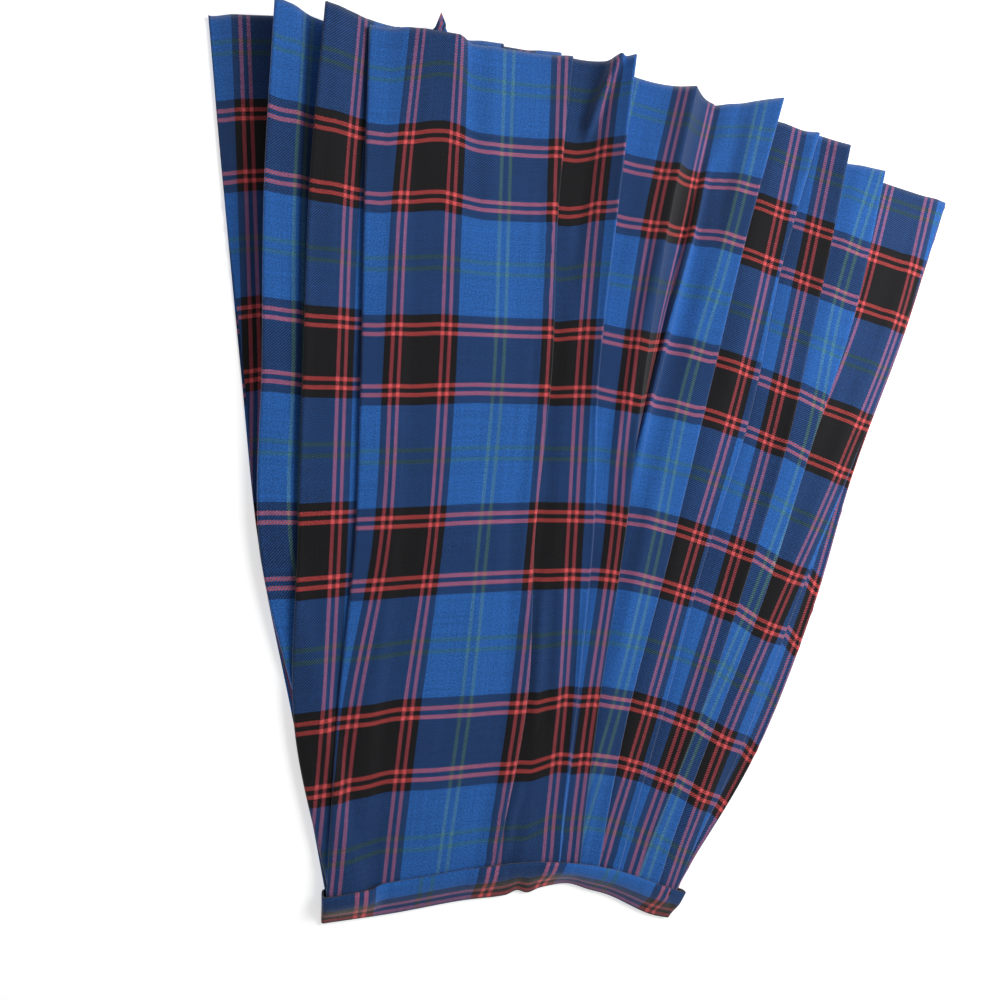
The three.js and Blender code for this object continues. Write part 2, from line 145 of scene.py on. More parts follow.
# Each row says: the strip of the front, lettered from the left, "P" being the centre panel, or
# "back"; the path down the crease as (distance from the hem, x); half its width; and its height
# above the cloth beside it.
CREASES = (
    ("A", ((0, -62), (150, -53), (300, -44)), 7, 1.2),
    ("B", ((0, -12), (150, -5), (330, -10)), 8, 2.0),
    ("C", ((0, 22), (110, 18), (260, 14)), 6, 1.4),
    ("P", ((60, 66), (180, 68), (360, 65)), 9, 1.4),
    ("P", ((0, 152), (90, 149), (170, 146)), 7, 1.6),
    ("P", ((250, 165), (324, 161), (438, 157), (520, 150)), 9, 1.3),
    ("P", ((440, 141), (492, 139), (606, 132)), 10, 1.6),
    ("P", ((470, 66), (560, 48), (650, 36)), 8, 1.2),
    ("F", ((0, 259), (14, 253), (42, 242), (76, 231)), 3.8, 9.5),
    ("F", ((90, 226), (150, 220), (290, 213)), 6, 1.2),
    ("F", ((430, 197), (468, 193), (516, 190), (600, 184)), 4.5, 2.4),
    ("F", ((430, 210), (468, 209), (516, 207), (610, 201)), 5, 2.4),
    ("F", ((610, 175), (636, 173), (654, 168), (690, 161)), 4, 2.2),
    ("G", ((20, 300), (120, 286), (240, 262)), 7, 1.4),
    ("G", ((100, 308), (200, 287), (320, 263), (400, 248)), 5, 3.5),
    ("G", ((280, 240), (324, 236), (438, 229), (600, 214)), 6, 1.8),
    ("H", ((14, 366), (84, 343), (180, 319), (300, 288), (400, 268)), 4.0, 7.0),
    ("H", ((0, 370), (54, 361), (192, 338), (300, 316)), 6, 1.3),
    ("H", ((0, 389), (48, 380), (156, 355), (230, 340)), 5, 1.4),
    ("H", ((330, 300), (430, 280), (560, 252)), 8, 1.6),
    ("I", ((120, 404), (162, 393), (210, 382), (300, 360)), 6, 1.6),
    ("J", ((0, 440), (102, 412), (160, 398)), 5, 1.3),
    ("K", ((0, 480), (90, 459), (220, 425)), 7, 1.8),
    ("K", ((330, 400), (440, 366), (560, 322)), 6, 1.5),
    ("L", ((0, 514), (126, 483), (250, 450)), 7, 1.5),
    ("L", ((300, 438), (420, 388), (560, 336)), 6, 1.6),
    ("M", ((60, 590), (180, 545), (330, 490)), 7, 1.4),
    ("back", ((0, 30), (200, 28), (420, 44)), 9, 1.0),
    ("back", ((0, 210), (220, 190), (500, 150)), 10, 1.2),
    ("back", ((0, 330), (260, 290), (520, 230)), 8, 1.0),
    ("back", ((80, 500), (300, 404), (560, 300)), 9, 0.6),
)
CREASE_FADE = 0.3       # share of its length over which a crease fades out
print(len(CREASES), "creases")

# %% [markdown]
# ## The back and the waist
#
# The back hides under the front. It is the same cloth, pleated away from its own centre panel, so
# an even row of pleats between the two side seams is enough. The waist seam and the free edge of
# the waistband are each one curve, a little wavy where the cloth is bunched.

# %% Back and waist
BACK_LEFT = ((-79, -66, -52, -37, -10, 15), 399)
BACK_HEM_X = (-79, 0, 60, 140, 203, 283, 358, 425, 500, 610)
BACK_HEM_Y = (399, 404, 413, 412, 410, 394, 380, 372, 341, 311)
BACK_PLEATS_A_SIDE = 5
BACK_PANEL = 0.2              # the centre panel's share of the width
BACK_MARGIN = 0.1             # the share between the last pleat and the side seam
BACK_TUCK = (16, 15, 13, 9)   # depth of the hidden folds at TUCK_STOPS
BACK_HEM_WIDTH = 690
BACK_PATTERN_SHIFT = 27       # where the check starts at the left side seam

WAIST_SEAM = ((13, 80, 180, 249, 328), (-290, -285, -280, -291, -324))
BAND_EDGE = (
    (13, 69, 124, 162, 172, 181, 192, 216, 235, 254, 289, 311),
    (-314.5, -312.5, -308.5, -308, -305, -308, -305, -304, -311, -318, -337, -344),
)
print(2 * BACK_PLEATS_A_SIDE, "pleats across the back")

# %% [markdown]
# ## Curves along the cloth
#
# Each table row becomes a smooth curve through its values. Blender's own curve objects could hold
# them, but a function that takes any distance from the hem is handier here, as every section asks
# for all of them at once.

# %% Curves
def smooth(t):
    """From 0 to 1 with a gentle start and end."""
    c = np.clip(t, 0, 1)
    return c * c * (3 - 2 * c)


def mix(a, b, t):
    return a + (b - a) * t


def curve(stops, values):
    """A smooth curve through values given at increasing stops, straight beyond both ends."""
    s, y = np.array(stops, float), np.array(values, float)
    slopes = np.gradient(y, s)
    slopes[1:-1] = (y[2:] - y[:-2]) / (s[2:] - s[:-2])

    def at(v):
        v = np.asarray(v, float)
        i = np.clip(np.searchsorted(s, v) - 1, 0, len(s) - 2)
        run = s[i + 1] - s[i]
        t = np.clip((v - s[i]) / run, 0, 1)
        inside = (
            (2 * t**3 - 3 * t**2 + 1) * y[i]
            + (t**3 - 2 * t**2 + t) * run * slopes[i]
            + (3 * t**2 - 2 * t**3) * y[i + 1]
            + (t**3 - t**2) * run * slopes[i + 1]
        )
        return inside + slopes[0] * np.minimum(0, v - s[0]) + slopes[-1] * np.maximum(0, v - s[-1])

    return at


waist_seam_y = curve(*WAIST_SEAM)
band_edge_y = curve(*BAND_EDGE)
band_depths = waist_seam_y(WAIST_SEAM[0]) - band_edge_y(WAIST_SEAM[0])
print("the waistband is", np.round(band_depths).astype(int).tolist(), "mm deep, from left to right")

# %% [markdown]
# ## Folds and side seams
#
# Cloth doesn't stretch, so a fold that runs sideways reaches less far down than a straight one. Its
# drop is added up step by step, and then fitted between its hem and the waist seam.

# %% Folds and side seams
def line_on_cloth(x_at, hem_y):
    """Where a line on the cloth lies along Y, at each distance from the hem."""
    step = 6
    at = np.arange(0, LENGTH + 5 * step, step)
    sideways = np.diff(x_at(np.minimum(at, LENGTH)))
    drops = np.concatenate([[0], np.cumsum(np.sqrt(np.maximum(1, step**2 - sideways**2)))])
    whole = drops[math.ceil(LENGTH / step)]
    scale = (hem_y - waist_seam_y(x_at(LENGTH))) / whole
    return lambda v: hem_y - scale * np.interp(v, at, drops)


def fold_line(row):
    """Turns a row of the fold table into functions of the distance from the hem."""
    side, x, hem, under, lift, curl, tuck = row
    x_at = curve(STOPS, x)
    return {
        "side": side, "x": x_at, "tuck": curve(TUCK_STOPS, tuck), "lift": lift, "curl": curl,
        "upper_y": line_on_cloth(x_at, hem), "lower_y": line_on_cloth(x_at, under),
    }


def side_seam(x, hem):
    x_at = curve(STOPS, x)
    return {"x": x_at, "y": line_on_cloth(x_at, hem)}


left_seam, right_seam = side_seam(*LEFT_SIDE), side_seam(*RIGHT_SIDE)
print("across the hem as laid:", RIGHT_SIDE[0][0] - LEFT_SIDE[0][0], "mm")

# %% [markdown]
# ## Where the threads run
#
# One coloured thread line is followed down each strip that shows, and the rest of the strip is
# measured from that line along the cloth's own surface. `u` counts millimetres across the whole
# uncut width, starting at the green lines of the first check; the hidden folds take up what lies
# between the strips. A plain projection from above would be quicker, but then the check would
# run straight over the folds.

# %% Thread lines
ACROSS_REPEAT = 135.5        # one check across the cloth
ALONG_REPEAT = 160           # one check along it
PAIR_ACROSS = 46             # red pair from the green lines, across
HEM_IN_CHECK = -30           # the hem lies this far before the middle of a green pair

# For each strip that shows: which check it is in, which line of it, and where that line lies.
# line: 0 the green lines, 1 the red pair to their right, -1 the red pair to their left.
THREADS = {
    "A": [(0, 1, (-52, -46, -41, -38, -11, 15))],
    "B": [(1, 0, (-2, -8, -8, -9, 21, 46))],
    "C": [(2, -1, (41, 30.5, 26, 22, 15.5, 5))],
    "P": [
        (2, 1, (88, 74.5, 68, 60.5, 36, 23)),
        (3, -1, (120, 114.5, 109.5, 100, 80.5, 65)),
        (3, 0, (165.5, 161, 156, 143, 128, 108.5)),
        (3, 1, (213, 207.3, 201, 189.5, 175, 152.5)),
    ],
    "F": [
        (3, 1, (212.5, 195.5, 183.5, 175.5, 167, 153)),
        (4, -1, (256, 239, 227, 219, 210.5, 196.5)),
    ],
    "G": [(4, 1, (322, 292, 270, 257, 236.5, 218))],
    "H": [(5, 0, (395.5, 361.5, 322.5, 294, 259.5, 219))],
    "I": [(6, -1, (440, 407, 372, 329.5, 288.5, 245.5))],
    "J": [(6, 1, (468.5, 438.5, 406.5, 366, 321, 273))],
    "K": [(7, 0, (517.5, 477, 444, 395.5, 337, 283.5))],
    "L": [(8, -1, (587, 546, 487.5, 423, 361.5, 309))],
    "M": [(8, 1, (607, 555.5, 500.5, 452.5, 393.5, 321))],
}

# The cloth was laid a little askew. At a place u across, the check runs this many mm ahead of the
# distance from the hem, at STOPS.
SKEW = {
    "A": [(46, (3.5, 6.5, 9.5, 6, -1, -3))],
    "B": [(115, (-4, -1, 5.5, 6, 2, 0)), (148, (2, 1, 2.5, 4, -1, -1))],
    "C": [(225, (-11, -8, -1.5, 3, -0.5, 0))],
    "P": [
        (300, (-10, -6, -3, 0, 1, 2)),
        (338, (0, 0.5, -1.5, 0, 2, 3)),
        (352, (1, 2, -0.5, 0, 3, 4)),
        (389, (-4.5, -3.5, 0.5, 0.5, 1, -0.5)),
        (447, (-3.5, -2, -1, 0, -1, -1)),
    ],
    "F": [(475, (-2, -3.5, -2, 0.5, -1, -2)), (497, (0, 2, 0, 1.5, 4, 7))],
    "G": [(560, (0.5, 1.5, 4, 3.5, -1, -2)), (590, (-3, 3, 4.5, 7, 7, 7))],
    "H": [
        (645, (1, 9, 10, 10.5, 10, 9)),
        (665, (1, 6, 7, 9, 8, 8)),
        (690, (-7, -2, 1, 4, 6, 8)),
    ],
    "I": [(767, (-4, 3, 7, 6, 7, 8))],
    "J": [(859, (-8, 0, 5, 8, 7, 6))],
    "K": [(930, (0, 9, 11, 12, 11, 8)), (957, (-6, 6, 7, 7, 6, 6))],
    "L": [(1010, (12, 8, 9, 8, 8, 7)), (1038, (12, 6, 5, 4, 3, 2))],
    "M": [(1110, (13, 13, 12, 9, 5, 4)), (1130, (10, 8, 7, 3, 0, 0))],
}


def thread_lines(rows):
    """Each thread's place across the uncut cloth, and the curve that it follows on the skirt."""
    return [
        (check * ACROSS_REPEAT + line * PAIR_ACROSS, curve(STOPS, x)) for check, line, x in rows
    ]


def skew_of(rows):
    """The skew of a strip as a function of the place across and the distance from the hem."""
    at = np.array([u for u, _ in rows])
    curves = [curve(STOPS, values) for _, values in rows]
    return lambda u, v: np.interp(u, at, [float(c(v)) for c in curves])


CHECKS_ACROSS = 8.4          # from one side seam to the other
print("the front is cut from", round(CHECKS_ACROSS * ACROSS_REPEAT), "mm of cloth")

# %% [markdown]
# ## Drawing a section
#
# The skirt is drawn section by section, from the waist to the hem. A section is a list of layers in
# sewing order: a strip that shows, the underfold behind its edge, the next strip, and so on.

# %% Layers of a section
SPRING = 1.4                 # how fast the folds' standing edges die away towards the waist


def spring(v):
    return (1 - min(1, max(0, v / LENGTH))) ** SPRING


def layers_at(v, piece):
    """The layers of a section in sewing order, from the left side seam to the right one."""
    start, end = float(piece["left"]["x"](v)), float(piece["right"]["x"](v))
    edges = []
    for fold in piece["folds"]:
        x, tuck = float(fold["x"](v)), float(fold["tuck"](v))
        edges.append({
            "fold": fold, "side": fold["side"], "x": x, "tuck": tuck,
            "hidden": x - fold["side"] * tuck, "rise": fold["lift"] * spring(v),
        })
    panel = sum(edge["side"] < 0 for edge in edges)
    layers = []
    for k in range(len(edges) + 1):
        before = edges[k - 1] if k else None
        after = edges[k] if k < len(edges) else None
        strip_start, strip_end = start, end
        if before:
            strip_start = before["x"] if before["side"] < 0 else before["hidden"]
        if after:
            strip_end = after["hidden"] if after["side"] < 0 else after["x"]
        layers.append({"strip": k, "depth": 2 * abs(k - panel), "start": strip_start,
                       "end": strip_end, "before": before, "after": after})
        if after:
            left = after["side"] < 0
            layers.append({
                "strip": None, "edge": after,
                "depth": 2 * (panel - k) - 1 if left else 2 * (k - panel) + 1,
                "start": after["hidden"] if left else after["x"],
                "end": after["x"] if left else after["hidden"],
            })
    return layers


print("an edge that stands up at the hem keeps", round(spring(LENGTH / 2), 2), "of it half way up")

# %% [markdown]
# ## The shape of one layer
#
# Each layer becomes a line of points. A strip rises towards an edge that stands up, and carries the
# creases. An underfold comes down from that edge to its inner fold. A layer also feels those below
# it: it is raised over their whole width and slopes down beyond their ends.

# %% Lines of points
STRIP_COLUMNS = 20
CREASED_COLUMNS = 32         # for the front strip with the sharpest creases, "F"
PANEL_COLUMNS = 56
UNDER_COLUMNS = 7
CROWDING = 0.5               # how much closer the points are near the folds; 0 is even
UNDER_DROP = 1.5             # how fast an underfold comes down from a standing edge


def felt(x, start, end):
    """How far a layer is felt by those above it: fully over its own width, fading beyond it."""
    low, high = min(start, end) - FOLD - 0.5, max(start, end) + FOLD + 0.5
    outside = np.maximum(0, np.maximum(low - x, x - high))
    return smooth(1 - outside / SLOPE)


def band_climb(v):
    return BAND_LIFT * smooth((v - BAND_RISE_FROM) / (LENGTH - BAND_RISE_FROM))


def strip_line(v, layer, piece, height):
    """One strip that shows: points across, along and up."""
    before, after = layer["before"], layer["after"]
    start_fold = before is not None and before["side"] < 0
    end_fold = after is not None and after["side"] > 0
    x_start, y_start = layer["start"], piece["left"]["y"](v)
    if before:
        x_start, y_start = before["x"], before["fold"]["upper_y" if start_fold else "lower_y"](v)
    x_end, y_end = layer["end"], piece["right"]["y"](v)
    if after:
        x_end, y_end = after["x"], after["fold"]["upper_y" if end_fold else "lower_y"](v)

    columns = PANEL_COLUMNS if layer["depth"] == 0 else STRIP_COLUMNS
    if piece["panel_on_top"] and layer["strip"] == list(THREADS).index("F"):
        columns = CREASED_COLUMNS
    t = np.linspace(0, 1, columns)
    t = mix(t, smooth(t), CROWDING)
    run = layer["end"] - layer["start"]
    margin = min(FOLD, abs(run) / 4)
    first = layer["start"] + (margin if before else 0)
    last = layer["end"] - (margin if after else 0)
    x = mix(first, last, t)
    share = np.clip((x - layer["start"]) / max(1, run), 0, 1)
    rise = piece["extra"](x, v, layer)
    if start_fold:
        rise = rise + before["rise"] * (1 - share) ** before["fold"]["curl"]
    if end_fold:
        rise = rise + after["rise"] * share ** after["fold"]["curl"]
    across = np.clip((x - x_start) / max(1, x_end - x_start), 0, 1)
    return np.stack([x, mix(y_start, y_end, across), height(x) + rise])


def underfold_line(v, layer, height):
    """One hidden underfold, from the edge of the pleat back to its inner fold."""
    edge = layer["edge"]
    near = FOLD / math.hypot(edge["tuck"], edge["rise"], 2 * LAYER)
    t = np.linspace(near, 1 - near, UNDER_COLUMNS)
    x = edge["x"] - edge["side"] * edge["tuck"] * t
    y = mix(edge["fold"]["upper_y"](v), edge["fold"]["lower_y"](v), t)
    line = np.stack([x, y, height(x) + edge["rise"] * (1 - t) ** UNDER_DROP])
    return line[:, ::-1] if edge["side"] < 0 else line


print("a strip has", STRIP_COLUMNS, "points, an underfold", UNDER_COLUMNS)

# %% [markdown]
# ## Laying the layers on one another
#
# Laid cloth can't pass through itself. So the layers of a section are put down like real ones: the
# lowest first, each next one at least a layer's thickness over the pile that already lies there. A
# collision solver would do this too, far more slowly.

# %% Sections
PILE = np.arange(-110, 660, 1.0)      # places across where the height of the pile is kept
BELOW_ALL = -50.0


def over_pile(line):
    """The heights of a line at the places of the pile, and where it covers them."""
    order = np.argsort(line[0])
    x, z = line[0][order], line[2][order]
    return np.interp(PILE, x, z), (PILE >= x[0]) & (PILE <= x[-1])


def rest_on(pile, line):
    """Raises a line to lie on the pile."""
    steep = np.gradient(pile)
    room = LAYER * np.minimum(STEEPEST, np.hypot(1, steep))
    needed = np.interp(line[0], PILE, pile + room)
    line[2] = np.maximum(line[2], needed)


def section_line(v, piece, under=None):
    """A whole section: a line of points for each layer, the layers, and the pile they make."""
    layers = layers_at(v, piece)
    base = WALL / 2 + band_climb(v)
    ends = layers[0]["start"], layers[-1]["end"]
    top = piece["panel_on_top"]
    lines = []
    for layer in layers:
        lower = [
            o for o in layers
            if (o["depth"] > layer["depth"] if top else o["depth"] < layer["depth"])
        ]

        def height(x, lower=lower):
            count = sum(felt(x, o["start"], o["end"]) for o in lower)
            return base + piece["floor"](x, *ends) + LAYER * count

        if layer["strip"] is None:
            lines.append(underfold_line(v, layer, height))
        else:
            lines.append(strip_line(v, layer, piece, height))
    pile = np.full(len(PILE), BELOW_ALL) if under is None else under.copy()
    way = -1 if top else 1
    for i in sorted(range(len(lines)), key=lambda i: way * layers[i]["depth"]):
        rest_on(pile, lines[i])
        z, covered = over_pile(lines[i])
        pile = np.where(covered, np.maximum(pile, z), pile)
    return lines, layers, pile


def fold_tip(a, b, layers, i):
    """The outermost point of the fold between layers i - 1 and i."""
    under = layers[i - 1] if layers[i - 1]["strip"] is None else layers[i]
    at_edge = (under is layers[i]) == (under["edge"]["side"] > 0)
    way = under["edge"]["side"] * (1 if at_edge else -1)
    out = way * FOLD * min(1, max(0, under["edge"]["tuck"] / (4 * FOLD)))
    return (a + b) / 2 + np.array([out, 0, 0])


print("the pile is measured every", PILE[1] - PILE[0], "mm")

# %% [markdown]
# ## Measuring along the cloth
#
# Along a strip that is the distance walked over the surface from the strip's own thread line. An
# underfold spans what is left between its two neighbours.

# %% Flat map of a section
def walked(line):
    return np.concatenate([[0], np.cumsum(np.linalg.norm(np.diff(line, axis=1), axis=0))])


def at_place(line, s, x):
    """The distance walked to a place x, running on straight past both ends."""
    inside = np.interp(x, line[0], s)
    return inside + min(0, x - line[0][0]) + max(0, x - line[0][-1])


def strip_map(line, threads, v):
    """The cloth's own place across, for each point of a strip."""
    s = walked(line)
    known = [(at_place(line, s, float(x_at(v))), u) for u, x_at in threads]
    at, u = np.array([k[0] for k in known]), np.array([k[1] for k in known])
    return np.interp(s, at, u) + np.minimum(0, s - at[0]) + np.maximum(0, s - at[-1])


def mapped_section(v, piece, under=None):
    """A section joined into one line, with each point's place on the flat cloth."""
    lines, layers, pile = section_line(v, piece, under)
    flat = [None] * len(lines)
    for i, layer in enumerate(layers):
        if layer["strip"] is not None:
            u = strip_map(lines[i], piece["threads"][layer["strip"]], v)
            flat[i] = np.stack([u, v + HEM_IN_CHECK + piece["skew"][layer["strip"]](u, v)])
    for i, layer in enumerate(layers):
        if layer["strip"] is None:
            s = walked(lines[i])
            share = (s + FOLD) / (s[-1] + 2 * FOLD)
            flat[i] = mix(flat[i - 1][:, -1:], flat[i + 1][:, :1], share)
    points, places = [lines[0]], [flat[0]]
    for i in range(1, len(lines)):
        tip = fold_tip(lines[i - 1][:, -1], lines[i][:, 0], layers, i)
        points += [tip[:, None], lines[i]]
        places += [(flat[i - 1][:, -1:] + flat[i][:, :1]) / 2, flat[i]]
    return np.concatenate(points, axis=1).T, np.concatenate(places, axis=1).T, pile


print("one check is", ACROSS_REPEAT, "mm across and", ALONG_REPEAT, "mm along")

# %% [markdown]
# ## The front piece
#
# The front lies over the folded back, so its floor is higher than the table, and it comes down to
# the back at both side seams. The creases and the hump are added to its strips as extra height.

# %% Front
def front_floor(x, left_x, right_x):
    """The height of what the front lies on, from one side seam to the other."""
    inward = np.minimum(x - left_x, right_x - x)
    return mix(WALL + SEAM_GAP, BACK_LAYERS * LAYER, smooth(inward / SIDE_RUN))


def crease_rise(strip, x, v):
    """How high the creases of a strip stand, at places x across it."""
    rise = 0 * x
    for name, path, width, height in CREASES:
        at = [v0 for v0, _ in path]
        if name != strip or not at[0] <= v <= at[-1]:
            continue
        fade = CREASE_FADE * (at[-1] - at[0])
        share = smooth((at[-1] - v) / fade) * (smooth((v - at[0]) / fade) if at[0] else 1)
        middle = np.interp(v, at, [x0 for _, x0 in path])
        rise = rise + height * share * np.exp(-(((x - middle) / width) ** 2))
    return rise


def front_form(x, v, layer):
    """The creases, and the flat-topped hump in the centre panel at the hem."""
    rise = crease_rise(list(THREADS)[layer["strip"]], x, v)
    if layer["depth"] != 0:
        return rise
    near, far = HUMP["crest"]
    up = smooth((x - HUMP["foot"]) / (near - HUMP["foot"]))
    down = smooth((HUMP["far_foot"] - x) / (HUMP["far_foot"] - far))
    return rise + HUMP["height"] * up * down * (1 - min(1, v / HUMP["length"])) ** 2


front = {
    "left": left_seam, "right": right_seam,
    "folds": [fold_line(row) for row in FRONT_FOLDS.values()],
    "threads": [thread_lines(rows) for rows in THREADS.values()],
    "skew": [skew_of(rows) for rows in SKEW.values()],
    "panel_on_top": True, "floor": front_floor, "extra": front_form,
}
print("the front has", len(layers_at(0, front)), "layers from seam to seam")

# %% [markdown]
# ## The back piece
#
# Seen from its own outside the back is pleated as the front is, but here it lies face down. So its
# centre panel is the lowest layer, and each pleat further out lies on the one before.

# %% Back
def back_piece():
    left, right = side_seam(*BACK_LEFT), right_seam
    hem_at, tuck = curve(BACK_HEM_X, BACK_HEM_Y), curve(TUCK_STOPS, BACK_TUCK)
    folds, threads = [], []
    reach = (1 - BACK_PANEL) / 2 - BACK_MARGIN
    shares = []
    for k in range(-BACK_PLEATS_A_SIDE, BACK_PLEATS_A_SIDE + 1):
        if k == 0:
            continue
        side = 1 if k > 0 else -1
        outward = (abs(k) - 1) / (BACK_PLEATS_A_SIDE - 1)
        share = 0.5 + side * (BACK_PANEL / 2 + reach * outward)
        shares.append(share)

        def x_at(v, share=share):
            return mix(left["x"](v), right["x"](v), share)

        y_at = line_on_cloth(x_at, float(hem_at(x_at(0))))
        folds.append({"side": side, "lift": 0, "curl": 1, "x": x_at, "tuck": tuck,
                      "upper_y": y_at, "lower_y": y_at})
    edges = [0, *shares, 1]
    for k in range(len(edges) - 1):
        middle = (edges[k] + edges[k + 1]) / 2
        u = middle * BACK_HEM_WIDTH + 2 * BACK_TUCK[0] * k - BACK_PATTERN_SHIFT

        def middle_at(v, middle=middle):
            return mix(left["x"](v), right["x"](v), middle)

        threads.append([(u, middle_at)])
    return {
        "left": left, "right": right, "folds": folds, "threads": threads, "panel_on_top": False,
        "skew": [lambda u, v: 0 * u] * len(threads),
        "floor": lambda x, *ends: 0 * x, "extra": lambda x, v, layer: crease_rise("back", x, v),
    }


back = back_piece()
print("the back has", len(layers_at(0, back)), "layers from seam to seam")

# %% [markdown]
# ## From sections to a sheet
#
# Woven cloth is a grid of threads, and so is this mesh: Blender's grid operator gives the faces,
# and each of its points is then put in its place. The sheet gets its thickness from Solidify, and
# its UV map is the flat cloth in metres, which is what a pattern piece is on paper.

# %% Sheets of cloth
def to_part(points):
    """Millimetres from the point below the camera, to metres in the part's frame."""
    return points * MM + np.array(OVER)


def cloth_sheet(name, points, flat, thickness, closed=False):
    """points: rows x columns x 3 in mm. flat: rows x columns x 2, the cloth's own places in mm."""
    rows, columns = points.shape[:2]
    bm = bmesh.new()
    bmesh.ops.create_grid(bm, x_segments=columns - 1, y_segments=rows - 1, size=1)
    bm.verts.ensure_lookup_table()
    placed = to_part(points.reshape(-1, 3))
    uv = bm.loops.layers.uv.new("cloth")
    places = {}
    for vert in bm.verts:
        column = round((vert.co.x + 1) / 2 * (columns - 1))
        row = round((vert.co.y + 1) / 2 * (rows - 1))
        places[vert] = row * columns + column
    flat_m = flat.reshape(-1, 2) * MM
    for face in bm.faces:
        face.smooth = True
        for loop in face.loops:
            loop[uv].uv = flat_m[places[loop.vert]]
    for vert, index in places.items():
        vert.co = placed[index]
    if closed:
        bmesh.ops.remove_doubles(bm, verts=bm.verts, dist=0.00001)
    mesh = bpy.data.meshes.new(name)
    bm.to_mesh(mesh)
    bm.free()
    piece = bpy.data.objects.new(name, mesh)
    bpy.context.collection.objects.link(piece)
    wall = piece.modifiers.new("wall", "SOLIDIFY")
    wall.thickness = thickness
    wall.offset = 0
    print(name, rows, "x", columns, "points,", len(mesh.polygons), "faces before its wall")
    return piece


print("cloth is", CLOTH * 1000, "mm thick")

# %% [markdown]
# ## The two body sheets
#
# At every station the back is drawn first, and the front is laid on the pile that it makes. The
# piles at the waist are kept, because the waistband has to go over them.

# %% Back and front sheets
ROW_STEP = 6
stations = np.append(np.arange(0, LENGTH + 1, ROW_STEP), [LENGTH, LENGTH + ALLOWANCE])[::-1]
back_rows, front_rows, waist_piles = [], [], []
for v in stations:
    back_points, back_flat, back_pile = mapped_section(v, back)
    front_points, front_flat, front_pile = mapped_section(v, front, back_pile)
    back_rows.append((back_points, back_flat))
    front_rows.append((front_points, front_flat))
    if v >= LENGTH:
        waist_piles.append(front_pile)

# The hem is the last row. The fold that stands up in it is drawn out to a point.
hem_points = back_rows[-1][0]
aside = hem_points[:, 0] - TIP["x"]
peak = np.maximum(0, 1 - np.maximum(-aside / TIP["left"], aside / TIP["right"]))
hem_points[:, 1] += TIP["out"] * peak
hem_points[:, 2] += TIP["height"] * peak

skirt_back = cloth_sheet("back_cloth", *map(np.array, zip(*back_rows)), CLOTH)
skirt_front = cloth_sheet("front_cloth", *map(np.array, zip(*front_rows)), CLOTH)

# %% [markdown]
# ## The waistband
#
# A straight strip is folded along its middle, sewn over the pleat tops and closed into a loop. Laid
# flat it is two doubled layers, pressed shut at the free edge. A section across it goes up the
# outside, over the fold and down the inside, and the loop carries that section round. Extruding a
# strip would be simpler, but it couldn't follow the bunched pleat tops or the wavy free edge.

# %% Waistband sizes
BAND_ENDS = {"left": 12.6, "right_seam": 324, "right_edge": 310}
BAND_TURN = 2                # how far the loop's ends round over
BAND_ROOM = 0.5              # between the pleat tops and the band
BAND_SHUT = 1.2              # gap left at the free edge
BAND_SHUT_FROM = 0.3         # share of the band's depth at which it starts to close
BAND_CUT_AT = 96             # where the middle of a check lies along the band
BAND_IN_CHECK = 23           # the seam's place in the check, across the band
BAND_COLUMNS = 110
BAND_ROWS = 9
BAND_LINES_UP = 0.9          # below 1, the lines lie closer together at the free edge
BAND_LINES_INSIDE = 5
BAND_OVER = 1.012            # how far up the fold over the free edge reaches
TURN_ANGLES = np.radians([60, 30, 0, -30, -60])
TOPS_REACH = range(-9, 10, 3)          # places near a point whose pleat tops it has to clear

tops = np.max(waist_piles, axis=0)
print("the pleat tops reach", round(float(tops.max()), 1), "mm above the table")


# %% Waistband
def open_to(x):
    """The height of the band's inner face over the pleat tops."""
    near = [np.interp(x + aside, PILE, tops) for aside in TOPS_REACH]
    return np.max(near, axis=0) + WALL / 2 + BAND_ROOM


def band_outline(up):
    """The loop at one height of the band: places along X and Y, the height of its inner face, and
    its right end.
    """
    shut = smooth((up - BAND_SHUT_FROM) / (1 - BAND_SHUT_FROM))
    right = mix(BAND_ENDS["right_seam"], BAND_ENDS["right_edge"], up)
    x = np.linspace(BAND_ENDS["left"] + BAND_TURN, right - BAND_TURN, BAND_COLUMNS)
    y = mix(waist_seam_y(x), band_edge_y(x), up)
    inner = mix(open_to(x), BAND_WALL + BAND_SHUT, shut)
    return x, y, inner, right


def band_row(up, depth):
    """One line round the loop. depth: how far in from the band's outer face."""
    x, y, inner, right = band_outline(up)
    upper = np.stack([x, y, inner + BAND_WALL - depth], axis=1)
    lower = np.stack([x, y, np.full(len(x), depth)], axis=1)[::-1]
    turns = []
    for top_end, low_end, out, end_x in (
        (upper[-1], lower[0], 1, right),
        (upper[0], lower[-1], -1, BAND_ENDS["left"]),
    ):
        middle = (top_end + low_end) / 2
        half = (top_end[2] - low_end[2]) / 2
        reach = abs(end_x - top_end[0]) - depth
        turn = np.stack([
            middle[0] + out * reach * np.cos(TURN_ANGLES),
            np.full(len(TURN_ANGLES), middle[1]),
            middle[2] + half * np.sin(TURN_ANGLES),
        ], axis=1)
        turns.append(turn if out > 0 else turn[::-1])
    return np.concatenate([upper, turns[0], lower, turns[1], upper[:1]])


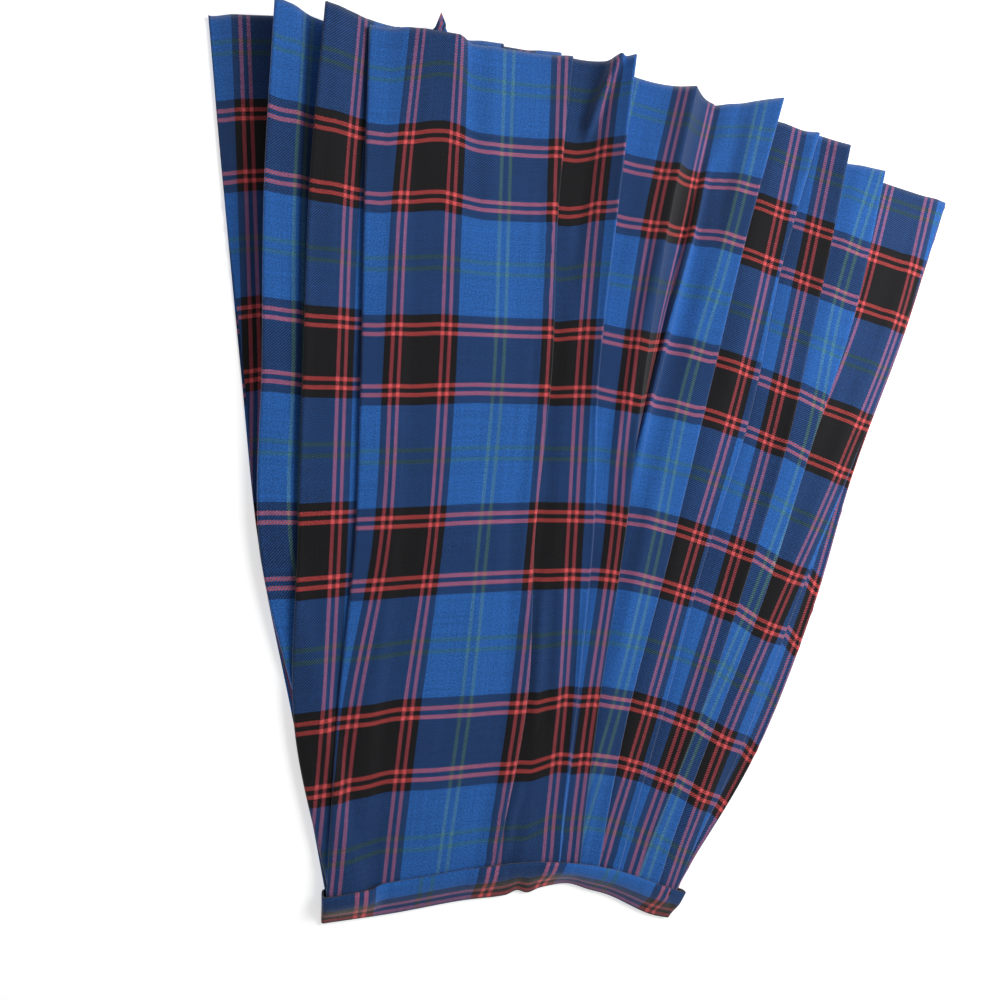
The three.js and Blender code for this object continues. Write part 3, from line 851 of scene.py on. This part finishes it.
def waistband():
    half = BAND_CLOTH / MM / 2
    inner_face = BAND_WALL - half
    outside = [(up, half) for up in np.linspace(0, 1, BAND_ROWS) ** BAND_LINES_UP]
    over = [(BAND_OVER, inner_face * 0.3 + half), (BAND_OVER, inner_face - 0.2)]
    inside = [(up, inner_face) for up in np.linspace(0.985, 0, BAND_LINES_INSIDE)]
    points = np.array([band_row(up, depth) for up, depth in outside + over + inside])
    along = walked(points[0].T)
    start = np.interp(BAND_CUT_AT, points[0][:BAND_COLUMNS, 0], along[:BAND_COLUMNS])
    across = walked(points[:, 40].T)       # up, over and down at one place along the band
    flat = np.stack(np.meshgrid(along - start, BAND_IN_CHECK + across), axis=2)[:, :, ::-1]
    print("the loop is", round(along[-1]), "mm round, of a strip", round(across[-1]), "mm wide")
    return cloth_sheet("band_cloth", points, flat, BAND_CLOTH, closed=True)


band = waistband()

# %% [markdown]
# ## The tartan
#
# Tartan is a short list of stripes, woven the same way across and along. Where a warp stripe
# crosses a weft stripe, a two-and-two twill shows each for half of the time, in fine diagonal
# lines, which is why blue over black looks navy and red over blue looks mauve. So the material
# keeps one chart of stripes for each direction, and a twill that picks between them. Painting the
# mixed colours would be simpler, but then the crossings would have no threads in them.

# %% Yarn colours
def linear(r, g, b):
    """A colour from its screen values of 11 to 255, by the usual screen curve."""
    return (*(((c / 255 + 0.055) / 1.055) ** 2.4 for c in (r, g, b)), 1)


YARNS = {
    "blue": linear(40, 100, 178),
    "green": linear(94, 150, 166),
    "dull green": linear(58, 112, 136),
    "black": linear(21, 19, 22),
    "red": linear(244, 92, 90),
    "soft red": linear(216, 88, 98),
}
# Half a check, in mm from the middle of the green lines: where each yarn starts.
WARP = ("blue", "green", "blue", "black", "soft red", "black", "soft red", "black")
WEFT = ("blue", "dull green", "blue", "black", "red", "black", "red", "black")
STARTS_ACROSS = (0, 2.2, 5.2, 36.0, 41.4, 44.2, 47.8, 50.6)
STARTS_ALONG = (0, 2.8, 6.4, 42.4, 49.3, 52.6, 56.4, 59.7)
THREAD = 0.58                # from one thread to the next
TWILL = 4 * THREAD           # a two-and-two twill repeats after four threads
PAINTED_CROSSING_SHADE = 0.3             # painted shade: how far each crossing of two colours is darkened towards the darker yarn
print(len(YARNS), "yarn colours, a thread every", THREAD, "mm")

# %% [markdown]
# ## Threads, slubs and fuzz
#
# Close up, no two threads are alike. Fibres stand out as fuzz, some threads are thicker, and the
# dye takes a little unevenly over a hand's width. Three noises of very different sizes give these.
# The ribs of the twill also go into a bump, so that the light catches them, and their colour is
# darkened in the grooves between them: that is painted shade.

# %% Cloth finish and painted shade of the ribs
FUZZ_SCALE = 900.0           # per metre
WANDER = 0.0009              # how far a stripe's edge strays, in metres
RIB_WANDER = 1.6             # how far a rib strays, where a whole rib is 2 pi
RIB_SOFTNESS = 1.3           # near 0 a rib is a clean step; larger is softer
# The ribs' shade is painted shade: the colour is darker in the grooves between the twill's ribs.
RIB_PAINTED_SHADE = (0.22, 0.84)     # for each shade: how much it varies, and its darkest
PATCH_SCALE = 9.0
PATCH_SHADE = (0.24, 0.88)
FUZZ_SHADE = (2.3, -0.15)
SLUB_RUNS = ((420.0, 12.0, 1.0), (12.0, 420.0, 1.0))     # thick and thin threads, both ways
SLUB_SHADE = (0.34, 0.83)
RELIEF = 0.00018             # depth of the ribs, in metres
ROUGHNESS = 0.88
SHEEN = 0.3
print("a rib of the twill every", round(TWILL, 2), "mm")

# %% [markdown]
# ## The material
#
# The nodes are written with three small helpers: one makes any node and wires its inputs, one does
# arithmetic and one mixes colours. The material reads the UV map, so it turns with the cloth.


# %% Tartan material
def woven():
    """The tartan's material."""
    material = bpy.data.materials.new("tartan")
    material.use_nodes = True
    nodes, links = material.node_tree.nodes, material.node_tree.links
    shader = nodes["Principled BSDF"]

    def node(kind, inputs=(), **settings):
        made = nodes.new(kind)
        for name, value in settings.items():
            setattr(made, name, value)
        for name, value in dict(inputs).items():
            if isinstance(value, bpy.types.NodeSocket):
                links.new(value, made.inputs[name])
            else:
                made.inputs[name].default_value = value
        return made

    def calc(operation, a, b=0.0, c=0.0):
        return node("ShaderNodeMath", {0: a, 1: b, 2: c}, operation=operation).outputs[0]

    def blend(kind, share, a, b):
        made = node("ShaderNodeMix", data_type="RGBA", blend_type=kind)
        for name, value in (("Factor", share), ("A", a), ("B", b)):
            socket = [s for s in made.inputs if s.name == name and s.enabled][0]
            if isinstance(value, bpy.types.NodeSocket):
                links.new(value, socket)
            else:
                socket.default_value = value
        return [s for s in made.outputs if s.enabled][0]

    cloth = node("ShaderNodeUVMap", uv_map="cloth").outputs[0]
    fuzz = node("ShaderNodeTexNoise", {"Vector": cloth, "Scale": FUZZ_SCALE, "Detail": 2.0})
    places = node("ShaderNodeSeparateXYZ", {0: cloth})
    wander = calc("MULTIPLY_ADD", fuzz.outputs[0], WANDER, -WANDER / 2)
    u = calc("ADD", places.outputs[0], wander)
    v = calc("ADD", places.outputs[1], wander)

    def stripes(place, repeat, yarns, starts):
        half = repeat * MM / 2
        folded = calc("DIVIDE", calc("PINGPONG", place, half), half)
        chart = node("ShaderNodeValToRGB", {0: folded})
        ramp = chart.color_ramp
        ramp.interpolation = "CONSTANT"
        for yarn, start in zip(yarns, starts):
            stop = ramp.elements.new(start * MM / half) if start else ramp.elements[0]
            stop.color = YARNS[yarn]
        ramp.elements.remove(ramp.elements[-1])
        return chart.outputs[0]

    warp = stripes(u, ACROSS_REPEAT, WARP, STARTS_ACROSS)
    weft = stripes(v, ALONG_REPEAT, WEFT, STARTS_ALONG)
    sum_of_both = calc("ADD", places.outputs[0], places.outputs[1])
    diagonal = calc("MULTIPLY", sum_of_both, 2 * math.pi / (TWILL * MM))
    wave = calc("SINE", calc("MULTIPLY_ADD", fuzz.outputs[0], RIB_WANDER, diagonal))
    soft_step = {0: wave, 1: -RIB_SOFTNESS, 2: RIB_SOFTNESS, 3: 0.0, 4: 1.0}
    shows = node("ShaderNodeMapRange", soft_step, clamp=True).outputs[0]
    # Painted shade: where warp and weft differ, the mixed colour is pulled further towards the
    # darker yarn.
    crossed = blend("DARKEN", 1.0, warp, weft)
    yarn = blend("MIX", PAINTED_CROSSING_SHADE, blend("MIX", shows, warp, weft), crossed)

    # Painted shade: the colour is darker in the grooves between the twill's ribs.
    ribs = calc("ABSOLUTE", wave)
    shade = calc("MULTIPLY_ADD", ribs, *RIB_PAINTED_SHADE)
    broad = node("ShaderNodeTexNoise", {"Vector": cloth, "Scale": PATCH_SCALE, "Detail": 3.0})
    patchy = calc("MULTIPLY_ADD", broad.outputs[0], *PATCH_SHADE)
    fine = calc("MULTIPLY_ADD", fuzz.outputs[0], *FUZZ_SHADE)
    grey = calc("MULTIPLY", calc("MULTIPLY", shade, patchy), fine)
    for run in SLUB_RUNS:
        drawn = node("ShaderNodeVectorMath", {0: cloth, 1: run}, operation="MULTIPLY").outputs[0]
        slub = node("ShaderNodeTexNoise", {"Vector": drawn, "Scale": 1.0, "Detail": 1.0})
        grey = calc("MULTIPLY", grey, calc("MULTIPLY_ADD", slub.outputs[0], *SLUB_SHADE))
    greys = node("ShaderNodeCombineXYZ", {0: grey, 1: grey, 2: grey}).outputs[0]
    links.new(blend("MULTIPLY", 1.0, yarn, greys), shader.inputs["Base Color"])

    height = calc("MULTIPLY_ADD", fuzz.outputs[0], 0.6, ribs)
    bump = node("ShaderNodeBump", {"Height": height, "Strength": 0.6, "Distance": RELIEF})
    links.new(bump.outputs[0], shader.inputs["Normal"])
    shader.inputs["Roughness"].default_value = ROUGHNESS
    shader.inputs["Specular IOR Level"].default_value = 0.25
    shader.inputs["Sheen Weight"].default_value = SHEEN
    shader.inputs["Sheen Roughness"].default_value = 0.45
    return material


tartan = woven()
print("the tartan has", len(tartan.node_tree.nodes), "nodes")

# %% Pieces
pieces = {"skirt_front": skirt_front, "skirt_back": skirt_back, "waistband": band}
for node_name, piece in pieces.items():
    piece.data.materials.append(tartan)
    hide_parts(node_name)
    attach(piece, "root")

print(len(pieces), "pieces")

# %% [markdown]
# ## The table
#
# A white table that glows a little keeps the shadows round the hem pale, as a lit table top does.
# It lies half a millimetre low, so that it never flickers through the underside of the cloth.

# %% Table
TABLE_HALF = 3
TABLE_DROP = 0.0005
WHITE = (1, 1, 1, 1)

table_mesh = bpy.data.meshes.new("table")
bm = bmesh.new()
bmesh.ops.create_grid(bm, x_segments=1, y_segments=1, size=TABLE_HALF)
bm.to_mesh(table_mesh)
bm.free()
table = bpy.data.objects.new("table", table_mesh)
table_mesh.transform(Matrix.Translation((0, 0, -TABLE_DROP)))
bpy.context.collection.objects.link(table)

pale = bpy.data.materials.new("pale_table")
pale.use_nodes = True
paint = pale.node_tree.nodes["Principled BSDF"].inputs
paint["Base Color"].default_value = (0.92, 0.92, 0.92, 1)
paint["Roughness"].default_value = 0.9
paint["Emission Color"].default_value = WHITE
paint["Emission Strength"].default_value = 0.52
table_mesh.materials.append(pale)
print("the table is", 2 * TABLE_HALF, "m wide")

# %% [markdown]
# ## Light
#
# Even light from all round, and one soft window high on the right. Folded cloth needs that one
# side light: without it the creases would not show at all.

# %% Light
AROUND = 0.28
WINDOW = {"place": (0.62, 0.3, 0.85), "size": 0.6, "power": 10.8}

world = bpy.data.worlds.new("room")
world.use_nodes = True
world.node_tree.nodes["Background"].inputs[0].default_value = WHITE
world.node_tree.nodes["Background"].inputs[1].default_value = AROUND
bpy.context.scene.world = world
bpy.context.scene.view_settings.view_transform = "Standard"


def soft_light(name, place, size, power):
    data = bpy.data.lights.new(name, "AREA")
    data.size = size
    data.energy = power
    light = bpy.data.objects.new(name, data)
    light.location = place
    light.rotation_euler = (-Vector(place)).to_track_quat("-Z", "Y").to_euler()
    bpy.context.collection.objects.link(light)


soft_light("window", **WINDOW)
print("one window light, and", AROUND, "from all round")
